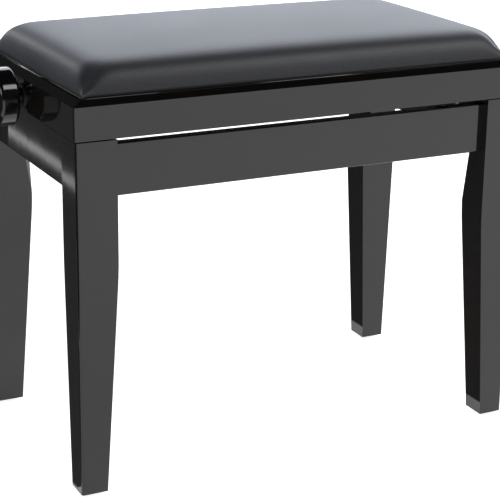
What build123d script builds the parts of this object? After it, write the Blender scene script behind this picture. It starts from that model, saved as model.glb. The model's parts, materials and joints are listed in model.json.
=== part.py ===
from build123d import *
import math
import os

# Height-adjustable piano bench. Millimetres, +Z up, origin on the floor under the middle of
# the bench, +X along the bench's width to the sitter's right, -Y to the front.
# The seat stands at its lowest setting, on four felt pads on top of the leg frame.

# ---- driving dimensions: the whole bench ----
BENCH_WIDTH = 555.0
BENCH_DEPTH = 320.0
GLIDE_HEIGHT = 4.5
LEG_LENGTH = 396.5
REST_GAP = 1.0

# ---- leg frame ----
LEG_WIDTH = 46.0
LEG_DEPTH = 42.0
FOOT_WIDTH = 30.0
FOOT_DEPTH = 31.0
LEG_STRAIGHT = 128.0
LEG_BEND_RADIUS = 500.0
LEG_EDGE_RADIUS = 3.0
LEG_TOP_RADIUS = 0.8
LEG_CHAMFER_TOP = 20.0
LEG_CHAMFER_RUNOUT = 130.0
FRAME_OVERHANG = 2.0
APRON_RECESS = 9.5
APRON_THICKNESS = 12.0
APRON_DROP = 7.5
APRON_BOTTOM = 64.5
APRON_EDGE_RADIUS = 1.5
DOWEL_RADIUS = 4.0
DOWEL_LENGTH = 30.0
DOWEL_DROPS = (20.0, 52.0)
BLOCK_THICKNESS = 15.2
BLOCK_CLEARANCE = 0.6
BLOCK_TOP = 12.0
BLOCK_BOTTOM = 60.0
BOLT_RADIUS = 4.0
BOLT_IN_LEG = 24.0
BOLT_OUTSIDE = 12.0
BOLT_CHAMFER = 0.6
WASHER_RADIUS = 9.0
WASHER_THICKNESS = 1.6
NUT_FLATS = 13.0
NUT_HEIGHT = 6.5
GLIDE_RADIUS = 8.5
GLIDE_FLAT_RADIUS = 5.0
GLIDE_BRIM = 1.2
GLIDE_PIN_RADIUS = 1.6
GLIDE_PIN_LENGTH = 14.0
PAD_RADIUS = 10.0
PAD_THICKNESS = 0.7

# ---- seat box ----
BOARD_THICKNESS = 22.0
BOX_SIDE_HEIGHT = 36.0
BOX_LIP_HEIGHT = 41.2
BEVEL_WIDTH = 10.8
LIP_EDGE_RADIUS = 0.5
LIP_INSET = 14.6
CUTTER_MARGIN = 1.0
LEDGE_HEIGHT = 30.0
BOX_EDGE_RADIUS = 2.0
BOX_FOOT_RADIUS = 1.0
SEAT_BLOCK_LEG = 60.0
SEAT_BLOCK_HEIGHT = 24.0
SEAT_SCREW_INSET = 24.5
SEAT_SCREW_BITE = 9.0

# ---- cushion ----
COVER_THICKNESS = 1.2
COVER_GAP = 0.3
COVER_TOP = 77.5
COVER_SHOULDER = 24.0
COVER_MARGIN = 25.0
BOARD_CORNER = 4.0
PLYWOOD_THICKNESS = 12.0

# ---- lifting mechanism, heights above the underside of the seat box ----
ARM_LENGTH = 360.0
PIVOT_X = -180.0
UPPER_PIVOT = 5.0
LOWER_PIVOT = -14.0
ARM_THICKNESS = 4.0
ARM_HEIGHT = 16.0
OUTER_ARM_Y = 51.5
INNER_ARM_Y = 46.5
SHAFT_RADIUS = 4.0
SHAFT_CLEARANCE = 0.06
RIVET_HOLE_RADIUS = 4.9
RIVET_HEAD_RADIUS = 7.0
RIVET_HEAD = 2.0
RIVET_HEAD_TAPER = 25
BUSH_RADIUS = 6.0
BUSH_WIDTH = 10.0
BUSH_END_GAP = 1.0
RAIL_OUTER_Y = 72.0
RAIL_DEPTH = 13.5
RAIL_SHEET = 1.5
RAIL_INSIDE = 13.4
UPPER_RAIL_END = 205.0
UPPER_FLANGE = 15.0
UPPER_SCREW_SPACING = 160.0
END_PLATE_WIDTH = 19.0
END_PLATE_BOTTOM = -43.0
RAIL_SCREW_DROPS = (28.0, 37.0)
CLIP_RADIUS = 7.0
CLIP_THICKNESS = 1.0
CLIP_GAP = 1.0

# ---- spindle and knobs ----
SPINDLE_Z = 17.0
SPINDLE_RADIUS = 5.0
SPINDLE_CLEARANCE = 0.06
SPINDLE_IN_KNOB = 30.0
BUSHING_RADIUS = 8.0
BUSHING_FLANGE_RADIUS = 15.0
BUSHING_FLANGE = 2.0
COLLAR_RADIUS = 10.0
COLLAR_WIDTH = 8.0
COLLAR_GAP = 0.5
KNOB_RADIUS = 32.0
KNOB_HUB_RADIUS = 9.5
KNOB_HUB_START = 2.5
KNOB_HUB_FLARE = 2.0
KNOB_BACK_ROUND = 4.0
KNOB_BACK = 11.5
KNOB_FACE = 35.5
KNOB_RIM_RADIUS = 6.0
KNOB_DISH_RADIUS = 22.0
KNOB_DISH_DEPTH = 2.0
KNOB_DISH_SLOPE = 2.0
KNOB_GRUB_PLACE = 5.5
GRUB_RADIUS = 2.0
GRUB_SUNK = 0.5
NUT_LENGTH = 26.0
NUT_WIDTH = 20.0
NUT_EDGE_RADIUS = 2.0
NUT_BOTTOM = -2.0
NUT_TOP = 27.0
NUT_SLOT_CLEARANCE = 0.6
NUT_SLOT_TRAVEL = 2.6

# ---- wood screws ----
SCREW_HEAD_RADIUS = 3.6
SCREW_HEAD_HEIGHT = 2.2
SCREW_HEAD_TAPER = 20
SCREW_RADIUS = 1.9
RAIL_SCREW_LENGTH = 10.0

# ---- worked out from the dimensions above ----
LEG_TOP_Z = GLIDE_HEIGHT + LEG_LENGTH
BOX_Z = LEG_TOP_Z + REST_GAP
HALF_WIDTH = BENCH_WIDTH / 2
HALF_DEPTH = BENCH_DEPTH / 2
LEG_OUTER_X = HALF_WIDTH - FRAME_OVERHANG
LEG_OUTER_Y = HALF_DEPTH - FRAME_OVERHANG
LEG_INNER_X = LEG_OUTER_X - LEG_WIDTH
LEG_INNER_Y = LEG_OUTER_Y - LEG_DEPTH
APRON_OUTER_X = LEG_OUTER_X - APRON_RECESS
APRON_OUTER_Y = LEG_OUTER_Y - APRON_RECESS
APRON_INNER_X = APRON_OUTER_X - APRON_THICKNESS
APRON_INNER_Y = APRON_OUTER_Y - APRON_THICKNESS
APRON_HEIGHT = APRON_BOTTOM - APRON_DROP
BOARD_INNER_X = HALF_WIDTH - BOARD_THICKNESS
BOARD_INNER_Y = HALF_DEPTH - BOARD_THICKNESS
UPPER_PIVOT_Z = BOX_Z + UPPER_PIVOT
LOWER_PIVOT_Z = BOX_Z + LOWER_PIVOT
SPINDLE_AXIS_Z = BOX_Z + SPINDLE_Z
PIVOT_RISE = UPPER_PIVOT - LOWER_PIVOT
SLIDE_X = PIVOT_X + math.sqrt(ARM_LENGTH**2 - PIVOT_RISE**2)

CORNERS = {
    "front_left": (-1, -1),
    "front_right": (1, -1),
    "rear_left": (-1, 1),
    "rear_right": (1, 1),
}
SIDES = {"front": -1, "rear": 1}

os.makedirs("parts", exist_ok=True)


def finish_piece(builder, label):
    """Names a finished piece and writes it to its own file."""
    builder.part.label = label
    export_step(builder.part, "parts/" + label + ".step")


def disc(seat, radius):
    """A round face on a seat plane."""
    with BuildSketch(seat) as face:
        Circle(radius)
    return face.sketch


def rectangle(seat, width, height, center=(0, 0)):
    """A rectangular face on a plane, its middle at center."""
    with BuildSketch(seat) as face:
        with Locations(center):
            Rectangle(width, height)
    return face.sketch


def outline(seat, points):
    """A straight-sided face through the given points of a plane."""
    with BuildSketch(seat) as face:
        with BuildLine():
            Polyline(*points, close=True)
        make_face()
    return face.sketch


def drill(seats, radius, depth):
    """Cuts a round hole below every seat plane, in the piece being built."""
    for seat in seats:
        extrude(disc(seat, radius), amount=-depth, mode=Mode.SUBTRACT)


def rod(seat, radius, outward, inward):
    """Adds a cylinder that runs from below a seat plane to above it."""
    extrude(disc(seat.offset(-inward), radius), amount=outward + inward)


def screw_group(label, seats, shank_length):
    """Pan-head wood screws: each seat plane is the face that the head bears on."""
    with BuildPart() as screws:
        for seat in seats:
            extrude(disc(seat, SCREW_HEAD_RADIUS), amount=SCREW_HEAD_HEIGHT, taper=SCREW_HEAD_TAPER)
            rod(seat, SCREW_RADIUS, 0, shank_length)
    finish_piece(screws, label)


def ring_group(label, seats, outer_radius, inner_radius, thickness):
    """Flat rings, one standing on each seat plane."""
    with BuildPart() as rings:
        for seat in seats:
            extrude(disc(seat, outer_radius), amount=thickness)
            extrude(disc(seat, inner_radius), amount=thickness, mode=Mode.SUBTRACT)
    finish_piece(rings, label)


def shaft_seat(x, y, z, sy):
    """A plane square to the bench's depth, its normal pointing to the side given by sy."""
    return Plane(origin=(x, y, z), x_dir=(1, 0, 0), z_dir=(0, sy, 0))


def spindle_seat(x, sx):
    """A plane square to the spindle at x, its normal pointing to the side given by sx."""
    return Plane(origin=(x, 0, SPINDLE_AXIS_Z), x_dir=(0, 1, 0), z_dir=(sx, 0, 0))


def mirrored_piece(piece, sx, sy, label):
    """Writes the front left piece of a set of four at another corner."""
    with BuildPart() as copy:
        add(piece.part)
        if sx > 0:
            mirror(about=Plane.YZ, mode=Mode.REPLACE)
        if sy > 0:
            mirror(about=Plane.XZ, mode=Mode.REPLACE)
    finish_piece(copy, label)


# ---- places shared by mating pieces ----
BLOCK_MID_Z = BOX_Z - (BLOCK_TOP + BLOCK_BOTTOM) / 2
CHAMFER_AT_BLOCK = LEG_CHAMFER_TOP * (1 - BLOCK_BOTTOM / LEG_CHAMFER_RUNOUT)
BLOCK_OUTER_SUM = LEG_INNER_X + LEG_INNER_Y + CHAMFER_AT_BLOCK - BLOCK_CLEARANCE * math.sqrt(2)
BLOCK_INNER_SUM = BLOCK_OUTER_SUM - BLOCK_THICKNESS * math.sqrt(2)
BOLT_INSET = (LEG_INNER_X + LEG_INNER_Y - BLOCK_INNER_SUM) / 2
SEAT_BOARD_Z = BOX_Z + LEDGE_HEIGHT + COVER_THICKNESS
FRONT_DOWEL_Y = APRON_OUTER_Y - APRON_THICKNESS / 2
SIDE_DOWEL_X = APRON_OUTER_X - APRON_THICKNESS / 2
PLATE_INNER_X = APRON_INNER_X - RAIL_SHEET
RAIL_MID_Y = RAIL_OUTER_Y - RAIL_DEPTH / 2
SEAT_SCREW_LENGTH = SEAT_BLOCK_HEIGHT + SEAT_SCREW_BITE

BOLT_SEATS = [
    Plane(
        origin=(sx * (LEG_INNER_X - BOLT_INSET), sy * (LEG_INNER_Y - BOLT_INSET), BLOCK_MID_Z),
        z_dir=(-sx, -sy, 0),
    )
    for sx, sy in CORNERS.values()
]
FRONT_DOWEL_SEATS = [
    Plane(
        origin=(sx * (LEG_INNER_X + DOWEL_LENGTH / 2), sy * FRONT_DOWEL_Y, BOX_Z - drop),
        z_dir=(sx, 0, 0),
    )
    for sx, sy in CORNERS.values()
    for drop in DOWEL_DROPS
]
SIDE_DOWEL_SEATS = [
    Plane(
        origin=(sx * SIDE_DOWEL_X, sy * (LEG_INNER_Y + DOWEL_LENGTH / 2), BOX_Z - drop),
        z_dir=(0, sy, 0),
    )
    for sx, sy in CORNERS.values()
    for drop in DOWEL_DROPS
]
DOWEL_SEATS = FRONT_DOWEL_SEATS + SIDE_DOWEL_SEATS
FOOT_SEATS = [
    Plane(
        origin=(
            sx * (LEG_OUTER_X - FOOT_WIDTH / 2),
            sy * (LEG_OUTER_Y - FOOT_DEPTH / 2),
            GLIDE_HEIGHT,
        )
    )
    for sx, sy in CORNERS.values()
]
RAIL_SCREW_SEATS = [
    Plane(origin=(sx * PLATE_INNER_X, sy * RAIL_MID_Y, BOX_Z - drop), z_dir=(-sx, 0, 0))
    for sx, sy in CORNERS.values()
    for drop in RAIL_SCREW_DROPS
]
UPPER_SCREW_SEATS = [
    Plane(
        origin=(x, sy * (RAIL_OUTER_Y + UPPER_FLANGE / 2), SEAT_BOARD_Z - RAIL_SHEET),
        z_dir=(0, 0, -1),
    )
    for sy in SIDES.values()
    for x in (-UPPER_SCREW_SPACING, 0.0, UPPER_SCREW_SPACING)
]
SEAT_SCREW_SEATS = [
    Plane(
        origin=(
            sx * (BOARD_INNER_X - SEAT_SCREW_INSET),
            sy * (BOARD_INNER_Y - SEAT_SCREW_INSET),
            BOX_Z + LEDGE_HEIGHT - SEAT_BLOCK_HEIGHT,
        ),
        z_dir=(0, 0, -1),
    )
    for sx, sy in CORNERS.values()
]


# ---- leg frame: four tapered legs ----
def leg_outline(seat, outer, inner, foot_inner):
    """A leg's face view: the outer edge upright, the inner edge upright, then tapering in a long bend."""
    bend_z = LEG_TOP_Z - LEG_STRAIGHT
    with BuildSketch(seat) as face:
        with BuildLine():
            upright = Line((inner, LEG_TOP_Z), (inner, bend_z))
            bend = JernArc(
                start=upright @ 1,
                tangent=upright % 1,
                radius=LEG_BEND_RADIUS,
                arc_size=bend_angle(outer, inner, foot_inner),
            )
            Polyline(
                bend @ 1,
                (foot_inner, GLIDE_HEIGHT),
                (outer, GLIDE_HEIGHT),
                (outer, LEG_TOP_Z),
                (inner, LEG_TOP_Z),
            )
        make_face()
    return face.sketch


def bend_angle(outer, inner, foot_inner):
    """The taper's angle in degrees, signed so that the inner edge bends towards the outer one."""
    drop = LEG_TOP_Z - LEG_STRAIGHT - GLIDE_HEIGHT
    angle = math.degrees(math.atan(abs(inner - foot_inner) / drop))
    return -angle if outer < inner else angle


CHAMFER_TILT = LEG_CHAMFER_TOP / math.sqrt(2) / LEG_CHAMFER_RUNOUT
CHAMFER_PLANE = Plane(
    origin=(-LEG_INNER_X, -LEG_INNER_Y, LEG_TOP_Z - LEG_CHAMFER_RUNOUT),
    z_dir=(1, 1, CHAMFER_TILT * math.sqrt(2)),
)

with BuildPart() as front_left_leg:
    extrude(
        leg_outline(Plane.XZ.offset(LEG_INNER_Y), -LEG_OUTER_X, -LEG_INNER_X, -LEG_OUTER_X + FOOT_WIDTH),
        amount=LEG_DEPTH,
    )
    extrude(
        leg_outline(Plane.YZ.offset(-LEG_OUTER_X), -LEG_OUTER_Y, -LEG_INNER_Y, -LEG_OUTER_Y + FOOT_DEPTH),
        amount=LEG_WIDTH,
        mode=Mode.INTERSECT,
    )
    fillet(edges().filter_by(Axis.Z).group_by(Axis.X)[0].group_by(Axis.Y)[0], LEG_EDGE_RADIUS)
    split(bisect_by=CHAMFER_PLANE, keep=Keep.BOTTOM)
    fillet(faces().sort_by(Axis.Z)[-1].edges(), LEG_TOP_RADIUS)
    drill(BOLT_SEATS[:1], BOLT_RADIUS, BLOCK_THICKNESS + BOLT_IN_LEG)
    drill(DOWEL_SEATS, DOWEL_RADIUS, DOWEL_LENGTH / 2)
    extrude(disc(FOOT_SEATS[0], GLIDE_PIN_RADIUS), amount=GLIDE_PIN_LENGTH, mode=Mode.SUBTRACT)

for corner, (sx, sy) in CORNERS.items():
    mirrored_piece(front_left_leg, sx, sy, "leg_" + corner)

# ---- leg frame: four aprons, their locating dowels, corner blocks and bolts ----
with BuildPart() as front_apron:
    with BuildSketch(Plane.YZ.offset(-LEG_INNER_X)):
        with Locations((-FRONT_DOWEL_Y, BOX_Z - (APRON_DROP + APRON_BOTTOM) / 2)):
            RectangleRounded(APRON_THICKNESS, APRON_HEIGHT, APRON_EDGE_RADIUS)
    extrude(amount=2 * LEG_INNER_X)
    drill(FRONT_DOWEL_SEATS, DOWEL_RADIUS, DOWEL_LENGTH)
mirrored_piece(front_apron, -1, -1, "apron_front")
mirrored_piece(front_apron, -1, 1, "apron_rear")

with BuildPart() as left_apron:
    with BuildSketch(Plane.XZ.offset(-LEG_INNER_Y)):
        with Locations((-SIDE_DOWEL_X, BOX_Z - (APRON_DROP + APRON_BOTTOM) / 2)):
            RectangleRounded(APRON_THICKNESS, APRON_HEIGHT, APRON_EDGE_RADIUS)
    extrude(amount=2 * LEG_INNER_Y)
    drill(SIDE_DOWEL_SEATS, DOWEL_RADIUS, DOWEL_LENGTH)
    drill(RAIL_SCREW_SEATS, SCREW_RADIUS, RAIL_SCREW_LENGTH)
mirrored_piece(left_apron, -1, -1, "apron_left")
mirrored_piece(left_apron, 1, -1, "apron_right")

with BuildPart() as apron_dowels:
    for dowel in DOWEL_SEATS:
        rod(dowel, DOWEL_RADIUS, 0, DOWEL_LENGTH)
finish_piece(apron_dowels, "apron_dowels")

with BuildPart() as corner_blocks:
    for sx, sy in CORNERS.values():
        face = outline(
            Plane.XY.offset(BOX_Z - BLOCK_BOTTOM),
            [
                (sx * (BLOCK_INNER_SUM - APRON_INNER_Y), sy * APRON_INNER_Y),
                (sx * (BLOCK_OUTER_SUM - APRON_INNER_Y), sy * APRON_INNER_Y),
                (sx * APRON_INNER_X, sy * (BLOCK_OUTER_SUM - APRON_INNER_X)),
                (sx * APRON_INNER_X, sy * (BLOCK_INNER_SUM - APRON_INNER_X)),
            ],
        )
        extrude(face, amount=BLOCK_BOTTOM - BLOCK_TOP)
    drill(BOLT_SEATS, BOLT_RADIUS, BLOCK_THICKNESS)
finish_piece(corner_blocks, "corner_blocks")

with BuildPart() as hanger_bolts:
    for seat in BOLT_SEATS:
        rod(seat, BOLT_RADIUS, BOLT_OUTSIDE, BLOCK_THICKNESS + BOLT_IN_LEG)
    chamfer(edges().filter_by(GeomType.CIRCLE), BOLT_CHAMFER)
finish_piece(hanger_bolts, "hanger_bolts")

ring_group("bolt_washers", BOLT_SEATS, WASHER_RADIUS, BOLT_RADIUS, WASHER_THICKNESS)

with BuildPart() as bolt_nuts:
    for seat in BOLT_SEATS:
        with BuildSketch(seat.offset(WASHER_THICKNESS)):
            RegularPolygon(NUT_FLATS / 2, 6, major_radius=False)
            Circle(BOLT_RADIUS, mode=Mode.SUBTRACT)
        extrude(amount=NUT_HEIGHT)
finish_piece(bolt_nuts, "bolt_nuts")

# ---- what the frame stands on, and what the seat box rests on ----
with BuildPart() as foot_glides:
    for seat in FOOT_SEATS:
        extrude(disc(seat.offset(-GLIDE_HEIGHT), GLIDE_RADIUS), amount=GLIDE_HEIGHT)
    chamfer(
        edges().filter_by(GeomType.CIRCLE).group_by(Axis.Z)[0],
        length=GLIDE_HEIGHT - GLIDE_BRIM,
        length2=GLIDE_RADIUS - GLIDE_FLAT_RADIUS,
    )
    for seat in FOOT_SEATS:
        extrude(disc(seat, GLIDE_PIN_RADIUS), amount=GLIDE_PIN_LENGTH)
finish_piece(foot_glides, "foot_glides")

with BuildPart() as rest_pads:
    for sx, sy in CORNERS.values():
        pad_place = (sx * (LEG_OUTER_X - LEG_WIDTH / 2), sy * (LEG_OUTER_Y - LEG_DEPTH / 2), LEG_TOP_Z)
        extrude(disc(Plane(origin=pad_place), PAD_RADIUS), amount=PAD_THICKNESS)
finish_piece(rest_pads, "rest_pads")

# ---- seat box: a moulded frame of four mitred boards ----
with BuildPart() as seat_frame:
    with BuildSketch(Plane.XY.offset(BOX_Z)):
        Rectangle(BENCH_WIDTH, BENCH_DEPTH)
        Rectangle(2 * BOARD_INNER_X, 2 * BOARD_INNER_Y, mode=Mode.SUBTRACT)
    extrude(amount=BOX_LIP_HEIGHT)
    with BuildSketch(Plane.XY.offset(BOX_Z + LEDGE_HEIGHT)):
        Rectangle(BENCH_WIDTH - 2 * LIP_INSET, BENCH_DEPTH - 2 * LIP_INSET)
    extrude(amount=BOX_LIP_HEIGHT, mode=Mode.SUBTRACT)
    bevel_cutter = outline(
        Plane.YZ.offset(-HALF_WIDTH),
        [
            (-HALF_DEPTH, BOX_Z + BOX_SIDE_HEIGHT),
            (-HALF_DEPTH + BEVEL_WIDTH, BOX_Z + BOX_LIP_HEIGHT),
            (-HALF_DEPTH + BEVEL_WIDTH, BOX_Z + BOX_LIP_HEIGHT + CUTTER_MARGIN),
            (-HALF_DEPTH - CUTTER_MARGIN, BOX_Z + BOX_LIP_HEIGHT + CUTTER_MARGIN),
            (-HALF_DEPTH - CUTTER_MARGIN, BOX_Z + BOX_SIDE_HEIGHT),
        ],
    )
    with BuildLine() as rim_path:
        Polyline(
            (-HALF_WIDTH, -HALF_DEPTH, BOX_Z + BOX_SIDE_HEIGHT),
            (HALF_WIDTH, -HALF_DEPTH, BOX_Z + BOX_SIDE_HEIGHT),
            (HALF_WIDTH, HALF_DEPTH, BOX_Z + BOX_SIDE_HEIGHT),
            (-HALF_WIDTH, HALF_DEPTH, BOX_Z + BOX_SIDE_HEIGHT),
            close=True,
        )
    sweep(bevel_cutter, path=rim_path.line, transition=Transition.RIGHT, mode=Mode.SUBTRACT)
    fillet(edges().filter_by(Axis.Z).group_by(SortBy.LENGTH)[-1], BOX_EDGE_RADIUS)
    fillet(faces().sort_by(Axis.Z)[-1].outer_wire().edges(), LIP_EDGE_RADIUS)
    fillet(faces().sort_by(Axis.Z)[0].outer_wire().edges(), BOX_FOOT_RADIUS)
    extrude(disc(spindle_seat(-HALF_WIDTH, 1), BUSHING_RADIUS), amount=BENCH_WIDTH, mode=Mode.SUBTRACT)

RIM_MIDDLE = HALF_WIDTH - HALF_DEPTH
LONG_BOARD = [(-HALF_WIDTH, -HALF_DEPTH), (HALF_WIDTH, -HALF_DEPTH), (RIM_MIDDLE, 0), (-RIM_MIDDLE, 0)]
SHORT_BOARD = [(-HALF_WIDTH, -HALF_DEPTH), (-RIM_MIDDLE, 0), (-HALF_WIDTH, HALF_DEPTH)]

for side, sy in SIDES.items():
    with BuildPart() as long_board:
        add(seat_frame.part)
        region = outline(Plane.XY.offset(BOX_Z), [(x, -sy * y) for x, y in LONG_BOARD])
        extrude(region, amount=BOX_LIP_HEIGHT, mode=Mode.INTERSECT)
    finish_piece(long_board, "seat_frame_" + side)

for side, sx in (("left", -1), ("right", 1)):
    with BuildPart() as short_board:
        add(seat_frame.part)
        region = outline(Plane.XY.offset(BOX_Z), [(-sx * x, y) for x, y in SHORT_BOARD])
        extrude(region, amount=BOX_LIP_HEIGHT, mode=Mode.INTERSECT)
    finish_piece(short_board, "seat_frame_" + side)

with BuildPart() as seat_corner_blocks:
    for sx, sy in CORNERS.values():
        face = outline(
            Plane.XY.offset(BOX_Z + LEDGE_HEIGHT - SEAT_BLOCK_HEIGHT),
            [
                (sx * BOARD_INNER_X, sy * BOARD_INNER_Y),
                (sx * (BOARD_INNER_X - SEAT_BLOCK_LEG), sy * BOARD_INNER_Y),
                (sx * BOARD_INNER_X, sy * (BOARD_INNER_Y - SEAT_BLOCK_LEG)),
            ],
        )
        extrude(face, amount=SEAT_BLOCK_HEIGHT)
    drill(SEAT_SCREW_SEATS, SCREW_RADIUS, SEAT_BLOCK_HEIGHT)
finish_piece(seat_corner_blocks, "seat_corner_blocks")

# ---- cushion: plywood board, foam, and the cover wrapped round both ----
COVER_WIDTH = BENCH_WIDTH - 2 * (LIP_INSET + COVER_GAP)
COVER_DEPTH = BENCH_DEPTH - 2 * (LIP_INSET + COVER_GAP)
BOARD_WIDTH = COVER_WIDTH - 2 * COVER_THICKNESS
BOARD_DEPTH = COVER_DEPTH - 2 * COVER_THICKNESS
FOAM_Z = SEAT_BOARD_Z + PLYWOOD_THICKNESS
FOAM_TOP_Z = BOX_Z + COVER_TOP - COVER_THICKNESS


def cushion_body(width, depth, shoulder, top_z):
    """A box from the top of the board to top_z, its upper edges well rounded."""
    with BuildPart() as body:
        with BuildSketch(Plane.XY.offset(FOAM_Z)):
            RectangleRounded(width, depth, BOARD_CORNER)
        extrude(amount=top_z - FOAM_Z)
        fillet(faces().sort_by(Axis.Z)[-1].edges(), shoulder)
    return body.part


FOAM_BODY = cushion_body(BOARD_WIDTH, BOARD_DEPTH, COVER_SHOULDER - COVER_THICKNESS, FOAM_TOP_Z)
COVER_BODY = cushion_body(COVER_WIDTH, COVER_DEPTH, COVER_SHOULDER, BOX_Z + COVER_TOP)

with BuildPart() as seat_board:
    with BuildSketch(Plane.XY.offset(SEAT_BOARD_Z)):
        RectangleRounded(BOARD_WIDTH, BOARD_DEPTH, BOARD_CORNER)
    extrude(amount=PLYWOOD_THICKNESS)
    drill(UPPER_SCREW_SEATS, SCREW_RADIUS, RAIL_SCREW_LENGTH)
    drill(SEAT_SCREW_SEATS, SCREW_RADIUS, SEAT_SCREW_LENGTH)
finish_piece(seat_board, "seat_board")

with BuildPart() as seat_foam:
    add(FOAM_BODY)
finish_piece(seat_foam, "seat_foam")

with BuildPart() as seat_cover:
    with BuildSketch(Plane.XY.offset(BOX_Z + LEDGE_HEIGHT)):
        RectangleRounded(COVER_WIDTH, COVER_DEPTH, BOARD_CORNER)
    extrude(amount=FOAM_Z - BOX_Z - LEDGE_HEIGHT)
    add(COVER_BODY)
    with BuildSketch(Plane.XY.offset(SEAT_BOARD_Z)):
        RectangleRounded(BOARD_WIDTH, BOARD_DEPTH, BOARD_CORNER)
    extrude(amount=PLYWOOD_THICKNESS, mode=Mode.SUBTRACT)
    add(FOAM_BODY, mode=Mode.SUBTRACT)
    with BuildSketch(Plane.XY.offset(BOX_Z + LEDGE_HEIGHT)):
        Rectangle(BOARD_WIDTH - 2 * COVER_MARGIN, BOARD_DEPTH - 2 * COVER_MARGIN)
    extrude(amount=COVER_THICKNESS, mode=Mode.SUBTRACT)
finish_piece(seat_cover, "seat_cover")

screw_group("seat_board_screws", SEAT_SCREW_SEATS, SEAT_SCREW_LENGTH)


# ---- lifting mechanism: steel rails, one pair on the leg frame and one under the seat board ----
def channel_faces(plane, sy, height):
    """The faces of a rail's channel, which opens towards the middle of the bench."""
    web_y = sy * (RAIL_OUTER_Y - RAIL_SHEET / 2)
    lip_height = (RAIL_INSIDE + RAIL_SHEET) / 2
    return [
        rectangle(plane, RAIL_SHEET, RAIL_INSIDE + 2 * RAIL_SHEET, (web_y, height)),
        rectangle(plane, RAIL_DEPTH, RAIL_SHEET, (sy * RAIL_MID_Y, height - lip_height)),
        rectangle(plane, RAIL_DEPTH, RAIL_SHEET, (sy * RAIL_MID_Y, height + lip_height)),
    ]


for side, sy in SIDES.items():
    with BuildPart() as base_rail:
        for face in channel_faces(Plane.YZ.offset(-PLATE_INNER_X), sy, LOWER_PIVOT_Z):
            extrude(face, amount=2 * PLATE_INNER_X)
        drill([shaft_seat(PIVOT_X, sy * RAIL_OUTER_Y, LOWER_PIVOT_Z, sy)], SHAFT_RADIUS, RAIL_SHEET)
    finish_piece(base_rail, "base_rail_" + side)

    with BuildPart() as upper_rail:
        flange_z = SEAT_BOARD_Z - RAIL_SHEET / 2
        web_bottom = UPPER_PIVOT_Z - RAIL_INSIDE / 2 - RAIL_SHEET
        start = Plane.YZ.offset(-UPPER_RAIL_END)
        for face in channel_faces(start, sy, UPPER_PIVOT_Z):
            extrude(face, amount=2 * UPPER_RAIL_END)
        web_y = sy * (RAIL_OUTER_Y - RAIL_SHEET / 2)
        web_middle = (SEAT_BOARD_Z + web_bottom) / 2
        web = rectangle(start, RAIL_SHEET, SEAT_BOARD_Z - web_bottom, (web_y, web_middle))
        extrude(web, amount=2 * UPPER_RAIL_END)
        flange_y = sy * (RAIL_OUTER_Y + (UPPER_FLANGE - RAIL_SHEET) / 2)
        flange = rectangle(start, UPPER_FLANGE + RAIL_SHEET, RAIL_SHEET, (flange_y, flange_z))
        extrude(flange, amount=2 * UPPER_RAIL_END)
        drill(UPPER_SCREW_SEATS, SCREW_RADIUS, RAIL_SHEET)
        drill([shaft_seat(PIVOT_X, sy * RAIL_OUTER_Y, UPPER_PIVOT_Z, sy)], SHAFT_RADIUS, RAIL_SHEET)
    finish_piece(upper_rail, "upper_rail_" + side)

with BuildPart() as rail_end_plates:
    plate_top = LOWER_PIVOT_Z + RAIL_INSIDE / 2 + RAIL_SHEET
    plate_bottom = BOX_Z + END_PLATE_BOTTOM
    plate_middle = (plate_top + plate_bottom) / 2
    for start in (-APRON_INNER_X, PLATE_INNER_X):
        for sy in SIDES.values():
            plate = rectangle(
                Plane.YZ.offset(start),
                END_PLATE_WIDTH,
                plate_top - plate_bottom,
                (sy * RAIL_MID_Y, plate_middle),
            )
            extrude(plate, amount=RAIL_SHEET)
    drill(RAIL_SCREW_SEATS, SCREW_RADIUS, RAIL_SHEET)
finish_piece(rail_end_plates, "rail_end_plates")

screw_group("base_rail_screws", RAIL_SCREW_SEATS, RAIL_SCREW_LENGTH)
screw_group("upper_rail_screws", UPPER_SCREW_SEATS, RAIL_SCREW_LENGTH)


def cross_shaft(label, x, z, half_length):
    """A round steel shaft across the bench's depth."""
    with BuildPart() as shaft:
        rod(shaft_seat(x, 0, z, 1), SHAFT_RADIUS, half_length, half_length)
        chamfer(edges().filter_by(GeomType.CIRCLE), BOLT_CHAMFER)
    finish_piece(shaft, label)


cross_shaft("lower_pivot_shaft", PIVOT_X, LOWER_PIVOT_Z, RAIL_OUTER_Y)
cross_shaft("upper_pivot_shaft", PIVOT_X, UPPER_PIVOT_Z, RAIL_OUTER_Y)
cross_shaft("drive_crossbar", SLIDE_X, UPPER_PIVOT_Z, RAIL_OUTER_Y - RAIL_SHEET - BUSH_END_GAP)
cross_shaft("lower_slide_shaft", SLIDE_X, LOWER_PIVOT_Z, RAIL_OUTER_Y - RAIL_SHEET - BUSH_END_GAP)

LOWER_CLIP_SEATS = [
    shaft_seat(PIVOT_X, sy * (INNER_ARM_Y - CLIP_GAP), LOWER_PIVOT_Z, -sy) for sy in SIDES.values()
]
UPPER_CLIP_SEATS = [
    shaft_seat(PIVOT_X, sy * (OUTER_ARM_Y - CLIP_GAP), UPPER_PIVOT_Z, -sy) for sy in SIDES.values()
]
ring_group("lower_shaft_clips", LOWER_CLIP_SEATS, CLIP_RADIUS, SHAFT_RADIUS, CLIP_THICKNESS)
ring_group("upper_shaft_clips", UPPER_CLIP_SEATS, CLIP_RADIUS, SHAFT_RADIUS, CLIP_THICKNESS)

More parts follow.
